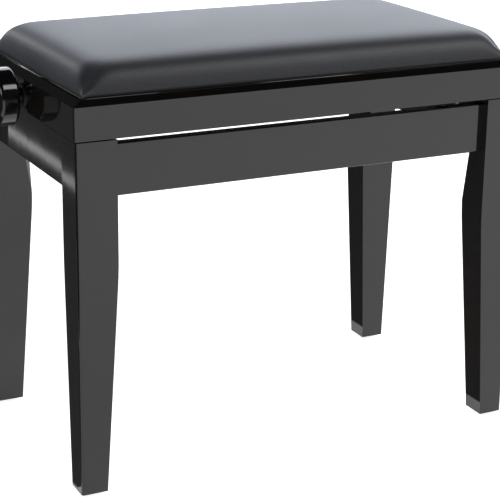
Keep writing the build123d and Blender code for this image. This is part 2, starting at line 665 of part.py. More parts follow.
BUSH_START_Y = RAIL_OUTER_Y - RAIL_SHEET - BUSH_END_GAP - BUSH_WIDTH
DRIVE_BUSH_SEATS = [shaft_seat(SLIDE_X, sy * BUSH_START_Y, UPPER_PIVOT_Z, sy) for sy in SIDES.values()]
SLIDE_BUSH_SEATS = [shaft_seat(SLIDE_X, sy * BUSH_START_Y, LOWER_PIVOT_Z, sy) for sy in SIDES.values()]
ring_group("drive_bushes", DRIVE_BUSH_SEATS, BUSH_RADIUS, SHAFT_RADIUS, BUSH_WIDTH)
ring_group("lower_slide_bushes", SLIDE_BUSH_SEATS, BUSH_RADIUS, SHAFT_RADIUS, BUSH_WIDTH)


# ---- scissor arms: flat steel bars, crossing at their middles ----
def scissor_arm(label, inner_y, sy, pivot_z, slide_z, rivet_hole):
    """A bar with rounded ends and three holes: its pivot, the crossing rivet and its sliding end."""
    bar_plane = Plane(
        origin=((PIVOT_X + SLIDE_X) / 2, sy * inner_y, (pivot_z + slide_z) / 2),
        x_dir=(SLIDE_X - PIVOT_X, 0, slide_z - pivot_z),
        z_dir=(0, sy, 0),
    )
    half = ARM_LENGTH / 2
    with BuildPart() as arm:
        with BuildSketch(bar_plane):
            SlotCenterToCenter(ARM_LENGTH, ARM_HEIGHT)
            with Locations((-half, 0)):
                Circle(SHAFT_RADIUS + SHAFT_CLEARANCE, mode=Mode.SUBTRACT)
            with Locations((half, 0)):
                Circle(SHAFT_RADIUS, mode=Mode.SUBTRACT)
            Circle(rivet_hole, mode=Mode.SUBTRACT)
        extrude(amount=ARM_THICKNESS)
    finish_piece(arm, label)


for side, sy in SIDES.items():
    scissor_arm("inner_arm_" + side, INNER_ARM_Y, sy, LOWER_PIVOT_Z, UPPER_PIVOT_Z, RIVET_HOLE_RADIUS)
    scissor_arm("outer_arm_" + side, OUTER_ARM_Y, sy, UPPER_PIVOT_Z, LOWER_PIVOT_Z, SHAFT_RADIUS)

with BuildPart() as centre_rivets:
    for sy in SIDES.values():
        rivet_x = (PIVOT_X + SLIDE_X) / 2
        rivet_z = (UPPER_PIVOT_Z + LOWER_PIVOT_Z) / 2
        outer_seat = shaft_seat(rivet_x, sy * (OUTER_ARM_Y + ARM_THICKNESS), rivet_z, sy)
        inner_seat = shaft_seat(rivet_x, sy * (INNER_ARM_Y - CLIP_GAP), rivet_z, -sy)
        extrude(disc(outer_seat, RIVET_HEAD_RADIUS), amount=RIVET_HEAD, taper=RIVET_HEAD_TAPER)
        rod(outer_seat, SHAFT_RADIUS, 0, OUTER_ARM_Y + ARM_THICKNESS - INNER_ARM_Y + CLIP_GAP)
        extrude(disc(inner_seat, RIVET_HEAD_RADIUS), amount=RIVET_HEAD, taper=RIVET_HEAD_TAPER)
finish_piece(centre_rivets, "centre_rivets")


# ---- spindle, its bushings in the end boards, its nut and the two knobs ----
SPINDLE_HALF = HALF_WIDTH + SPINDLE_IN_KNOB
# the middle of a quarter-round stands in by this share of its radius from both of its sides
ROUND_MIDDLE = 1 - math.sqrt(0.5)

with BuildPart() as spindle_rod:
    rod(spindle_seat(0, 1), SPINDLE_RADIUS, SPINDLE_HALF, SPINDLE_HALF)
    chamfer(edges().filter_by(GeomType.CIRCLE), BOLT_CHAMFER)
finish_piece(spindle_rod, "spindle_rod")

with BuildPart() as spindle_bushings:
    for sx in (-1, 1):
        rod(spindle_seat(sx * HALF_WIDTH, sx), BUSHING_RADIUS, 0, BOARD_THICKNESS)
        extrude(disc(spindle_seat(sx * HALF_WIDTH, sx), BUSHING_FLANGE_RADIUS), amount=BUSHING_FLANGE)
    extrude(
        disc(spindle_seat(-SPINDLE_HALF, 1), SPINDLE_RADIUS + SPINDLE_CLEARANCE),
        amount=2 * SPINDLE_HALF,
        mode=Mode.SUBTRACT,
    )
finish_piece(spindle_bushings, "spindle_bushings")

COLLAR_SEATS = [spindle_seat(sx * (BOARD_INNER_X - COLLAR_GAP), -sx) for sx in (-1, 1)]
COLLAR_GRUB_SEATS = [
    Plane(
        origin=(
            sx * (BOARD_INNER_X - COLLAR_GAP - COLLAR_WIDTH / 2),
            0,
            SPINDLE_AXIS_Z - COLLAR_RADIUS,
        ),
        z_dir=(0, 0, -1),
    )
    for sx in (-1, 1)
]
KNOB_GRUB_SEATS = [
    Plane(
        origin=(sx * (HALF_WIDTH + KNOB_GRUB_PLACE), 0, SPINDLE_AXIS_Z - KNOB_HUB_RADIUS),
        z_dir=(0, 0, -1),
    )
    for sx in (-1, 1)
]
with BuildPart() as thrust_collars:
    for seat in COLLAR_SEATS:
        extrude(disc(seat, COLLAR_RADIUS), amount=COLLAR_WIDTH)
        extrude(disc(seat, SPINDLE_RADIUS), amount=COLLAR_WIDTH, mode=Mode.SUBTRACT)
    drill(COLLAR_GRUB_SEATS, GRUB_RADIUS, COLLAR_RADIUS - SPINDLE_RADIUS)
finish_piece(thrust_collars, "thrust_collars")



def grub_screws(label, seats, wall):
    """Headless screws sunk in their holes, in a wall of the given thickness round the spindle."""
    with BuildPart() as screws:
        for seat in seats:
            rod(seat.offset(-GRUB_SUNK), GRUB_RADIUS, 0, wall - GRUB_SUNK - SPINDLE_CLEARANCE)
    finish_piece(screws, label)


grub_screws("collar_screws", COLLAR_GRUB_SEATS, COLLAR_RADIUS - SPINDLE_RADIUS)
grub_screws("knob_screws", KNOB_GRUB_SEATS, KNOB_HUB_RADIUS - SPINDLE_RADIUS)

for side, sx in (("left", -1), ("right", 1)):
    profile_plane = Plane(
        origin=(sx * HALF_WIDTH, 0, SPINDLE_AXIS_Z),
        x_dir=(sx, 0, 0),
        z_dir=(0, -sx, 0),
    )
    back_middle = ROUND_MIDDLE * KNOB_BACK_ROUND
    rim_middle = ROUND_MIDDLE * KNOB_RIM_RADIUS
    with BuildPart() as knob:
        with BuildSketch(profile_plane):
            with BuildLine():
                Polyline(
                    (KNOB_HUB_START, 0),
                    (KNOB_HUB_START, KNOB_HUB_RADIUS),
                    (KNOB_BACK - KNOB_HUB_FLARE, KNOB_HUB_RADIUS),
                    (KNOB_BACK, KNOB_HUB_RADIUS + KNOB_HUB_FLARE),
                    (KNOB_BACK, KNOB_RADIUS - KNOB_BACK_ROUND),
                )
                ThreePointArc(
                    (KNOB_BACK, KNOB_RADIUS - KNOB_BACK_ROUND),
                    (KNOB_BACK + back_middle, KNOB_RADIUS - back_middle),
                    (KNOB_BACK + KNOB_BACK_ROUND, KNOB_RADIUS),
                )
                Line(
                    (KNOB_BACK + KNOB_BACK_ROUND, KNOB_RADIUS),
                    (KNOB_FACE - KNOB_RIM_RADIUS, KNOB_RADIUS),
                )
                ThreePointArc(
                    (KNOB_FACE - KNOB_RIM_RADIUS, KNOB_RADIUS),
                    (KNOB_FACE - rim_middle, KNOB_RADIUS - rim_middle),
                    (KNOB_FACE, KNOB_RADIUS - KNOB_RIM_RADIUS),
                )
                Line((KNOB_FACE, KNOB_RADIUS - KNOB_RIM_RADIUS), (KNOB_FACE, KNOB_DISH_RADIUS))
                Polyline(
                    (KNOB_FACE, KNOB_DISH_RADIUS),
                    (KNOB_FACE - KNOB_DISH_DEPTH, KNOB_DISH_RADIUS - KNOB_DISH_SLOPE * KNOB_DISH_DEPTH),
                    (KNOB_FACE - KNOB_DISH_DEPTH, 0),
                    (KNOB_HUB_START, 0),
                )
            make_face()
        revolve(axis=Axis((0, 0, SPINDLE_AXIS_Z), (1, 0, 0)))
        extrude(
            disc(spindle_seat(sx * HALF_WIDTH, sx), SPINDLE_RADIUS),
            amount=SPINDLE_IN_KNOB,
            mode=Mode.SUBTRACT,
        )
        drill(KNOB_GRUB_SEATS, GRUB_RADIUS, KNOB_HUB_RADIUS - SPINDLE_RADIUS)
    finish_piece(knob, "knob_" + side)

with BuildPart() as spindle_nut:
    with BuildSketch(Plane.XY.offset(BOX_Z + NUT_BOTTOM)):
        with Locations((SLIDE_X, 0)):
            RectangleRounded(NUT_LENGTH, NUT_WIDTH, NUT_EDGE_RADIUS)
    extrude(amount=NUT_TOP - NUT_BOTTOM)
    extrude(
        disc(spindle_seat(SLIDE_X - NUT_LENGTH, 1), SPINDLE_RADIUS + SPINDLE_CLEARANCE),
        amount=2 * NUT_LENGTH,
        mode=Mode.SUBTRACT,
    )
    slot_x = SLIDE_X + (NUT_SLOT_TRAVEL - NUT_SLOT_CLEARANCE) / 2
    with BuildSketch(shaft_seat(slot_x, -NUT_WIDTH, UPPER_PIVOT_Z, 1)):
        SlotCenterToCenter(NUT_SLOT_TRAVEL, 2 * (SHAFT_RADIUS + NUT_SLOT_CLEARANCE))
    extrude(amount=2 * NUT_WIDTH, mode=Mode.SUBTRACT)
finish_piece(spindle_nut, "spindle_nut")
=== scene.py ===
"""Looks of a height-adjustable piano bench: black lacquer, padded vinyl, steel lifting gear."""
import json
import math

import bmesh
import bpy
import numpy as np
from mathutils import Matrix, Vector


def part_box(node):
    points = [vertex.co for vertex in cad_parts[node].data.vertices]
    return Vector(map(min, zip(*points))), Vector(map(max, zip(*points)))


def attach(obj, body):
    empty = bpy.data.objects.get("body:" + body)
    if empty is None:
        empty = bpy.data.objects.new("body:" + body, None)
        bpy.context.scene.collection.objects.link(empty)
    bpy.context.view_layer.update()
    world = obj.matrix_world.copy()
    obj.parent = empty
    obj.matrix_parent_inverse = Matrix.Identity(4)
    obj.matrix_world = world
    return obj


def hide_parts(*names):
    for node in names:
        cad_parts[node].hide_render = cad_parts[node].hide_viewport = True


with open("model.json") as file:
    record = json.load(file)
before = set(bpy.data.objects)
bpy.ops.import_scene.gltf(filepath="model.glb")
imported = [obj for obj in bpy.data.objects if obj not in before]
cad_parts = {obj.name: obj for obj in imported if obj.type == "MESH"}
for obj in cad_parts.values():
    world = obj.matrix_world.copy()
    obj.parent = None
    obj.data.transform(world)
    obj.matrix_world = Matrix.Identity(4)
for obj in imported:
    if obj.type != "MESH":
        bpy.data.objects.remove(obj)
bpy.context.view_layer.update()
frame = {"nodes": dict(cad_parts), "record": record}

# ---- places taken from the frame, in metres ----
RIM_LOW, RIM_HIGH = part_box("seat_frame_front")
RIM_HALF_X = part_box("seat_frame_right")[1][0]
COVER_LOW, COVER_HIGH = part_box("seat_cover")
BOX_Z = RIM_LOW[2]
RIM_TOP_Z = RIM_HIGH[2]
COVER_HALF_X = (COVER_HIGH[0] - COVER_LOW[0]) / 2
COVER_HALF_Y = (COVER_HIGH[1] - COVER_LOW[1]) / 2
COVER_TOP_Z = COVER_HIGH[2]


# ---- surfaces: arrays of points turned into meshes ----
def grid_faces(rows, columns, wrap):
    """Quads of a rows x columns grid of points, numbered row by row.

    wrap joins the last column to the first."""
    across = np.arange(columns if wrap else columns - 1)
    down = np.arange(rows - 1)
    row, column = np.meshgrid(down, across, indexing="ij")
    following = (column + 1) % columns
    near = row * columns
    far = near + columns
    quads = np.stack([near + column, near + following, far + following, far + column], axis=-1)
    return quads.reshape(-1, 4)


def mesh_piece(name, points, faces, smooth=True):
    """Makes an object at the origin from arrays of points and faces."""
    mesh = bpy.data.meshes.new(name)
    rows = np.asarray(points).reshape(-1, 3).tolist()
    mesh.from_pydata(rows, [], [list(map(int, face)) for face in faces])
    mesh.update()
    mesh.polygons.foreach_set("use_smooth", np.full(len(mesh.polygons), smooth))
    piece = bpy.data.objects.new(name, mesh)
    bpy.context.scene.collection.objects.link(piece)
    return piece


def recalculated(piece):
    """Points every face of a closed mesh outwards."""
    work = bmesh.new()
    work.from_mesh(piece.data)
    bmesh.ops.remove_doubles(work, verts=work.verts, dist=1e-6)
    bmesh.ops.recalc_face_normals(work, faces=work.faces)
    work.to_mesh(piece.data)
    work.free()
    return piece


# ---- shader groups shared by several finishes ----
def new_group(name, inputs, outputs):
    """An empty shader group with named float, colour or vector sockets."""
    group = bpy.data.node_groups.new(name, "ShaderNodeTree")
    for socket, kind, value in inputs:
        made = group.interface.new_socket(socket, in_out="INPUT", socket_type=kind)
        if value is not None:
            made.default_value = value
    for socket, kind in outputs:
        group.interface.new_socket(socket, in_out="OUTPUT", socket_type=kind)
    return group, group.nodes.new("NodeGroupInput"), group.nodes.new("NodeGroupOutput")


def math_node(nodes, links, operation, first, second=None, clamp=False):
    """A math node whose inputs are sockets or numbers."""
    node = nodes.new("ShaderNodeMath")
    node.operation = operation
    node.use_clamp = clamp
    for index, value in enumerate((first, second)):
        if value is None:
            continue
        if isinstance(value, (int, float)):
            node.inputs[index].default_value = value
        else:
            links.new(value, node.inputs[index])
    return node.outputs[0]


def noise(nodes, links, vector, scale, detail=4.0, roughness=0.55):
    """A noise texture's value on the given coordinates."""
    node = nodes.new("ShaderNodeTexNoise")
    node.inputs["Scale"].default_value = scale
    node.inputs["Detail"].default_value = detail
    node.inputs["Roughness"].default_value = roughness
    links.new(vector, node.inputs["Vector"])
    return node.outputs["Fac"]


def make_wear_group():
    """Edge wear and dust.

    Edge is 1 on sharp convex edges, Dust is 1 where dust settles, Cloud is broad variation."""
    group, entry, leave = new_group(
        "edge_and_dust",
        [
            ("Vector", "NodeSocketVector", None),
            ("Edge Amount", "NodeSocketFloat", 1.0),
            ("Dust Amount", "NodeSocketFloat", 0.2),
        ],
        [("Edge", "NodeSocketFloat"), ("Dust", "NodeSocketFloat"), ("Cloud", "NodeSocketFloat")],
    )
    nodes, links = group.nodes, group.links
    geometry = nodes.new("ShaderNodeNewGeometry")
    broken = noise(nodes, links, entry.outputs["Vector"], 90.0)
    cloud = noise(nodes, links, entry.outputs["Vector"], 6.0)
    sharp = math_node(nodes, links, "SUBTRACT", geometry.outputs["Pointiness"], 0.53)
    sharp = math_node(nodes, links, "MULTIPLY", sharp, 14.0, clamp=True)
    edge = math_node(nodes, links, "MULTIPLY", sharp, broken)
    edge = math_node(nodes, links, "MULTIPLY", edge, entry.outputs["Edge Amount"], clamp=True)
    split = nodes.new("ShaderNodeSeparateXYZ")
    links.new(geometry.outputs["Normal"], split.inputs[0])
    upward = math_node(nodes, links, "MAXIMUM", split.outputs["Z"], 0.0)
    upward = math_node(nodes, links, "POWER", upward, 3.0)
    specks = math_node(nodes, links, "MULTIPLY", broken, upward)
    dust = math_node(nodes, links, "MULTIPLY", specks, entry.outputs["Dust Amount"], clamp=True)
    links.new(edge, leave.inputs["Edge"])
    links.new(dust, leave.inputs["Dust"])
    links.new(cloud, leave.inputs["Cloud"])
    return group


def make_grain_group():
    """Vinyl's pressed grain: rounded pebbles with fine creases between them, over a broad soft unevenness.
    Its crease output is used only for painted shade in the creases.
    """
    group, entry, leave = new_group(
        "pressed_grain",
        [("Vector", "NodeSocketVector", None), ("Pebbles", "NodeSocketFloat", 700.0)],
        [("Height", "NodeSocketFloat"), ("Crease Shade", "NodeSocketFloat")],
    )
    nodes, links = group.nodes, group.links
    cells = nodes.new("ShaderNodeTexVoronoi")
    cells.feature = "SMOOTH_F1"
    cells.inputs["Smoothness"].default_value = 0.6
    cells.inputs["Randomness"].default_value = 0.9
    warp = nodes.new("ShaderNodeTexNoise")
    warp.inputs["Scale"].default_value = 260.0
    links.new(entry.outputs["Vector"], warp.inputs["Vector"])
    shift = nodes.new("ShaderNodeVectorMath")
    shift.operation = "MULTIPLY_ADD"
    shift.inputs[1].default_value = (0.0014, 0.0014, 0.0014)
    links.new(warp.outputs["Color"], shift.inputs[0])
    links.new(entry.outputs["Vector"], shift.inputs[2])
    links.new(shift.outputs[0], cells.inputs["Vector"])
    links.new(entry.outputs["Pebbles"], cells.inputs["Scale"])
    fine = noise(nodes, links, entry.outputs["Vector"], 1800.0, detail=2.0)
    pebble = math_node(nodes, links, "SUBTRACT", 1.0, cells.outputs["Distance"], clamp=True)
    height = math_node(nodes, links, "MULTIPLY_ADD", fine, 0.25)
    links.new(pebble, height.node.inputs[2])
    crease_shade = math_node(nodes, links, "POWER", cells.outputs["Distance"], 2.0, clamp=True)
    links.new(height, leave.inputs["Height"])
    links.new(crease_shade, leave.inputs["Crease Shade"])
    return group


def make_brushed_group():
    """Drawing lines along one axis of a steel piece, as a height and a lightness."""
    group, entry, leave = new_group(
        "drawn_lines",
        [("Vector", "NodeSocketVector", None), ("Stretch", "NodeSocketVector", (4.0, 900.0, 900.0))],
        [("Line", "NodeSocketFloat")],
    )
    nodes, links = group.nodes, group.links
    stretch = nodes.new("ShaderNodeVectorMath")
    stretch.operation = "MULTIPLY"
    links.new(entry.outputs["Vector"], stretch.inputs[0])
    links.new(entry.outputs["Stretch"], stretch.inputs[1])
    line = noise(nodes, links, stretch.outputs[0], 1.0, detail=3.0)
    links.new(line, leave.inputs["Line"])
    return group


WEAR = make_wear_group()
GRAIN = make_grain_group()
BRUSHED = make_brushed_group()


# ---- finishes ----
WOOD_STRETCH = (1.0, 6.0, 9.0)


class Finish:
    """A material with its Principled shader, Object coordinates and the groups it uses."""

    def __init__(self, name, **uniform):
        self.material = bpy.data.materials.new(name)
        self.material.use_nodes = True
        self.nodes = self.material.node_tree.nodes
        self.links = self.material.node_tree.links
        self.shader = self.nodes["Principled BSDF"]
        for socket, value in uniform.items():
            self.shader.inputs[socket.replace("_", " ")].default_value = value
        self.vector = self.nodes.new("ShaderNodeTexCoord").outputs["Object"]

    def group(self, tree, **values):
        """Places a shared group, its Vector linked to Object coordinates and its other inputs set."""
        node = self.nodes.new("ShaderNodeGroup")
        node.node_tree = tree
        self.links.new(self.vector, node.inputs["Vector"])
        for socket, value in values.items():
            node.inputs[socket.replace("_", " ")].default_value = value
        return node.outputs

    def ramp(self, value, stops):
        """A colour ramp over a value; stops are (place, colour)."""
        node = self.nodes.new("ShaderNodeValToRGB")
        node.color_ramp.elements.remove(node.color_ramp.elements[1])
        node.color_ramp.elements[0].position = stops[0][0]
        node.color_ramp.elements[0].color = (*stops[0][1], 1)
        for place, colour in stops[1:]:
            node.color_ramp.elements.new(place).color = (*colour, 1)
        self.links.new(value, node.inputs["Fac"])
        return node.outputs["Color"]

    def span(self, value, low, high):
        """Maps 0..1 to low..high."""
        node = self.nodes.new("ShaderNodeMapRange")
        node.inputs["To Min"].default_value = low
        node.inputs["To Max"].default_value = high
        self.links.new(value, node.inputs["Value"])
        return node.outputs["Result"]

    def mix(self, factor, first, second):
        """Mixes two colours by a value; each colour is a socket or a tuple."""
        node = self.nodes.new("ShaderNodeMix")
        node.data_type = "RGBA"
        self.links.new(factor, node.inputs["Factor"])
        for socket, colour in ((node.inputs[6], first), (node.inputs[7], second)):
            if isinstance(colour, tuple):
                socket.default_value = (*colour, 1)
            else:
                self.links.new(colour, socket)
        return node.outputs[2]

    def feed(self, socket, value):
        """Links a value to the shader."""
        self.links.new(value, self.shader.inputs[socket])

    def bump(self, height, distance, strength=1.0):
        """Feeds a height to the shader's Normal through a Bump node."""
        node = self.nodes.new("ShaderNodeBump")
        node.inputs["Distance"].default_value = distance
        node.inputs["Strength"].default_value = strength
        self.links.new(height, node.inputs["Height"])
        self.feed("Normal", node.outputs["Normal"])

    def noise(self, scale, detail=4.0):
        """A noise on Object coordinates."""
        return noise(self.nodes, self.links, self.vector, scale, detail)

    def wood_grain(self, scale):
        """Growth rings: a noise drawn out along X."""
        stretch = self.nodes.new("ShaderNodeVectorMath")
        stretch.operation = "MULTIPLY"
        stretch.inputs[1].default_value = WOOD_STRETCH
        self.links.new(self.vector, stretch.inputs[0])
        return noise(self.nodes, self.links, stretch.outputs[0], scale, 8.0, 0.65)


def black_lacquer():
    """Polished black lacquer: near-black body under a clear, very slightly rippled gloss coat."""
    finish = Finish("black_lacquer", Coat_Weight=0.0, IOR=1.5)
    wear = finish.group(WEAR, Edge_Amount=0.35, Dust_Amount=0.05)
    body = finish.mix(wear["Cloud"], (0.0025, 0.0022, 0.0020), (0.0045, 0.0040, 0.0038))
    finish.feed("Base Color", finish.mix(wear["Edge"], body, (0.02, 0.017, 0.015)))
    haze = finish.noise(14.0, 6.0)
    finish.feed("Roughness", finish.span(haze, 0.035, 0.085))
    finish.bump(finish.noise(55.0, 1.0), 0.00004, 0.5)
    return finish.material


def black_vinyl():
    """Black upholstery vinyl: pressed grain and satin sheen, with painted shade darkening the creases between
    the pebbles so that their tops look greyer.
    """
    finish = Finish("black_vinyl", IOR=1.5, Sheen_Weight=0.35, Sheen_Roughness=0.5, Coat_Weight=0.0)
    finish.shader.inputs["Sheen Tint"].default_value = (0.75, 0.80, 0.95, 1)
    grain = finish.group(GRAIN, Pebbles=620.0)
    wear = finish.group(WEAR, Edge_Amount=0.1, Dust_Amount=0.08)
    # Painted shade: the colour darkens in the grain's creases and stays greyer on the pebble tops.
    colour = finish.mix(grain["Crease Shade"], (0.013, 0.0135, 0.016), (0.006, 0.006, 0.0065))
    finish.feed("Base Color", finish.mix(wear["Dust"], colour, (0.06, 0.06, 0.06)))
    finish.feed("Roughness", finish.span(wear["Cloud"], 0.46, 0.56))
    finish.bump(grain["Height"], 0.00022, 0.7)
    return finish.material


def knob_plastic():
    """Gloss black moulded plastic with fine handling marks in its polish."""
    finish = Finish("knob_plastic", IOR=1.5)
    wear = finish.group(WEAR, Edge_Amount=0.5, Dust_Amount=0.1)
    finish.feed("Base Color", finish.mix(wear["Edge"], (0.004, 0.004, 0.0045), (0.03, 0.03, 0.03)))
    finish.feed("Roughness", finish.span(finish.noise(120.0, 8.0), 0.06, 0.16))
    finish.bump(finish.noise(60.0, 1.0), 0.00003, 0.4)
    return finish.material


def bare_wood(name, light, dark, ring_scale):
    """Unfinished wood: growth rings stretched along X, with fine pores."""
    finish = Finish(name, IOR=1.45)
    rings = finish.wood_grain(ring_scale)
    pores = finish.noise(900.0, 3.0)
    finish.feed("Base Color", finish.ramp(rings, [(0.3, dark), (0.55, light), (0.8, dark)]))
    finish.feed("Roughness", finish.span(pores, 0.55, 0.85))
    finish.bump(pores, 0.0002, 0.5)
    return finish.material


def stained_wood():
    """Sawn hardwood stained black: the grain still shows as a faint difference in depth of colour."""
    finish = Finish("stained_wood", IOR=1.45)
    grain = finish.wood_grain(16.0)
    finish.feed("Base Color", finish.mix(grain, (0.010, 0.008, 0.007), (0.040, 0.032, 0.026)))
    finish.feed("Roughness", finish.span(grain, 0.55, 0.8))
    finish.bump(finish.noise(900.0, 3.0), 0.0002, 0.5)
    return finish.material


def powder_coat():
    """Black powder-coated steel: fine orange peel, bare grey metal showing at the edges."""
    finish = Finish("black_steel", IOR=1.5)
    wear = finish.group(WEAR, Edge_Amount=0.9, Dust_Amount=0.3)
    finish.feed("Base Color", finish.mix(wear["Edge"], (0.018, 0.018, 0.020), (0.32, 0.32, 0.33)))
    finish.feed("Metallic", wear["Edge"])
    finish.feed("Roughness", finish.span(wear["Cloud"], 0.32, 0.48))
    finish.bump(finish.noise(420.0, 2.0), 0.00012, 0.6)
    return finish.material


def bright_metal(name, light, dark, rough, stretch):
    """Drawn or plated metal with fine lines along its length and clouded brightness."""
    finish = Finish(name, Metallic=1.0)
    lines = finish.group(BRUSHED, Stretch=stretch)
    wear = finish.group(WEAR, Edge_Amount=0.6, Dust_Amount=0.2)
    colour = finish.mix(lines["Line"], dark, light)
    finish.feed("Base Color", finish.mix(wear["Dust"], colour, (0.12, 0.11, 0.10)))
    finish.feed("Roughness", finish.span(lines["Line"], rough - 0.08, rough + 0.1))
    finish.bump(lines["Line"], 0.00004, 0.4)
    return finish.material


def moulded_nylon():
    """Black moulded nylon: matt, slightly mottled."""
    finish = Finish("nylon", IOR=1.5)
    mottle = finish.noise(160.0)
    finish.feed("Base Color", finish.mix(mottle, (0.012, 0.012, 0.012), (0.03, 0.03, 0.03)))
    finish.feed("Roughness", finish.span(mottle, 0.3, 0.5))
    finish.bump(mottle, 0.0001, 0.4)
    return finish.material


def wool_felt():
    """Black felt: fuzzy, rough and faintly mottled."""
    finish = Finish("felt", Roughness=0.95, Sheen_Weight=0.4)
    fuzz = finish.noise(1500.0, 6.0)
    finish.feed("Base Color", finish.mix(fuzz, (0.008, 0.008, 0.009), (0.04, 0.04, 0.042)))
    finish.bump(fuzz, 0.0004, 0.9)
    return finish.material


def upholstery_foam():
    """Cream open-cell foam."""
    finish = Finish("foam", Roughness=0.9)
    cells = finish.noise(700.0, 6.0)
    finish.feed("Base Color", finish.mix(cells, (0.55, 0.50, 0.36), (0.80, 0.76, 0.62)))
    finish.bump(cells, 0.0006, 0.8)
    return finish.material


FINISHES = {
    "black_lacquer": black_lacquer(),
    "knob_plastic": knob_plastic(),
    "stained_wood": stained_wood(),
    "bare_wood": bare_wood("bare_wood", (0.50, 0.34, 0.19), (0.36, 0.23, 0.12), 14.0),
    "plywood": bare_wood("plywood", (0.60, 0.45, 0.28), (0.47, 0.33, 0.19), 9.0),
    "vinyl": black_vinyl(),
    "foam": upholstery_foam(),
    "felt": wool_felt(),
    "nylon": moulded_nylon(),
    "black_steel": powder_coat(),
    "brass": bright_metal("brass", (0.80, 0.60, 0.28), (0.62, 0.45, 0.20), 0.3, (900.0, 900.0, 8.0)),
    "bright_steel": bright_metal(
        "bright_steel", (0.62, 0.62, 0.63), (0.42, 0.42, 0.43), 0.25, (300.0, 300.0, 300.0)
    ),
    "zinc_steel": bright_metal(
        "zinc_steel", (0.70, 0.68, 0.60), (0.50, 0.49, 0.45), 0.34, (200.0, 200.0, 200.0)
    ),
}

for part in frame["record"]["subparts"]:
    node = frame["nodes"][part["node"]]
    node.data.materials.clear()
    node.data.materials.append(FINISHES[part["material_slot"]])


def dress(piece, finish, body):
    """Gives a new piece its finish and the body that it rides on."""
    piece.data.materials.clear()
    piece.data.materials.append(FINISHES[finish])
    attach(piece, body)
    return piece


# ---- cushion ----
CUSHION_BASE_Z = RIM_TOP_Z - 0.0012
CUSHION_EDGE_GAP = 0.0006
CUSHION_CROWN = 0.005
CUSHION_ROUND = 0.0105
CORNER_PULL = 0.35
CORNER_REACH = 0.020
BOARD_EDGE_COVER = 0.0055
CUSHION_ARCH_POWER = 2.0
CUSHION_TOP_MARGIN = 0.003
CUSHION_SKIRT = 0.008
CUSHION_GRID = (210, 130)
FOAM_INSET = 0.010
FOAM_GRID = (90, 56)
FOLD_DEPTH = 0.0022
FOLD_WIDTH = 0.0075
FOLD_REACH = 0.034
FOLD_EASE = 0.012
FOLD_SIDEWAYS = 0.75
FOLD_DOWNWARD = 0.5
SETTLE_EASE = 0.02
SETTLE_OUTWARD = 0.0030
SETTLE_UPWARD = 0.009


def cushion_top(u, v, half_x, half_y, height, crown):
    """Height over the base: two flattened arches multiplied, plus a gentle crown, pulled low at the corners.

    Each arch is (1 - |t|^n)^(1/m): upright at the rim, rounded over the shoulder and level in the
    middle. The pull is a Gaussian of the distance from the nearest corner. The root of squares with a
    constant keeps the cover above the edge of the board that it wraps."""
    from_corner = np.hypot(half_x * (1 - np.abs(u)), half_y * (1 - np.abs(v)))
    pull = 1 - CORNER_PULL * np.exp(-((from_corner / CORNER_REACH) ** 2))
    arch_x = (1 - np.abs(u) ** (half_x / CUSHION_ROUND)) ** (1 / CUSHION_ARCH_POWER)
    arch_y = (1 - np.abs(v) ** (half_y / CUSHION_ROUND)) ** (1 / CUSHION_ARCH_POWER)
    rise = height * arch_x * arch_y * pull + crown * (1 - u**2) * (1 - v**2)
    return np.hypot(rise, BOARD_EDGE_COVER)


def cushion_body(name, inset, across, down):
    """A closed body: the arched top over a flat bottom, both on one grid, drawn in by inset all round."""
    half_x = COVER_HALF_X - CUSHION_EDGE_GAP - inset
    half_y = COVER_HALF_Y - CUSHION_EDGE_GAP - inset
    u = np.sin(np.linspace(-math.pi / 2, math.pi / 2, across))
    v = np.sin(np.linspace(-math.pi / 2, math.pi / 2, down))
    grid_v, grid_u = np.meshgrid(v, u, indexing="ij")
    height = COVER_TOP_Z - CUSHION_BASE_Z - CUSHION_TOP_MARGIN - inset
    rise = cushion_top(grid_u, grid_v, half_x, half_y, height, CUSHION_CROWN)
    top = np.stack([grid_u * half_x, grid_v * half_y, CUSHION_BASE_Z + rise], axis=-1)
    bottom = top.copy()
    bottom[..., 2] = CUSHION_BASE_Z - CUSHION_SKIRT
    faces = grid_faces(down, across, False)
    points = np.concatenate([top.reshape(-1, 3), bottom.reshape(-1, 3)])
    count = down * across
    left = np.arange(down) * across
    right = left + across - 1
    front = np.arange(across)
    rear = front + (down - 1) * across

    def wall(edge):
        return np.stack([edge[:-1], edge[:-1] + count, edge[1:] + count, edge[1:]], axis=-1)

    walls = [wall(left), wall(right)[:, ::-1], wall(front)[:, ::-1], wall(rear)]
    all_faces = np.concatenate([faces, (faces + count)[:, ::-1]] + walls)
    return recalculated(mesh_piece(name, points, all_faces))


def read_points(mesh):
    """A mesh's vertices as an array."""
    flat = np.empty(len(mesh.vertices) * 3)
    mesh.vertices.foreach_get("co", flat)
    return flat.reshape(-1, 3)


def write_points(mesh, points):
    """Puts an array back as a mesh's vertices."""
    mesh.vertices.foreach_set("co", points.ravel())
    mesh.update()


def corner_folds(points):
    """Pulls the cover in along each corner: a soft valley along the corner's diagonal.

    The depth is a Gaussian of the distance from the diagonal times a Gaussian of the distance in from
    the corner, and it eases in above the board's edge, so the edge stays covered."""
    folded = points.copy()
    for side_x in (-1, 1):
        for side_y in (-1, 1):
            from_x = COVER_HALF_X - side_x * points[:, 0]
            from_y = COVER_HALF_Y - side_y * points[:, 1]
            off_line = (from_x - from_y) / math.sqrt(2)
            inward = (from_x + from_y) / math.sqrt(2)
            fade = np.exp(-((inward / FOLD_REACH) ** 2))
            valley = np.exp(-((off_line / FOLD_WIDTH) ** 2))
            over_board = points[:, 2] - CUSHION_BASE_Z - BOARD_EDGE_COVER
            above = np.clip(over_board / FOLD_EASE, 0, 1)
            depth = FOLD_DEPTH * valley * fade * above
            folded[:, 0] -= side_x * depth * FOLD_SIDEWAYS
            folded[:, 1] -= side_y * depth * FOLD_SIDEWAYS
            folded[:, 2] -= depth * FOLD_DOWNWARD
    return folded


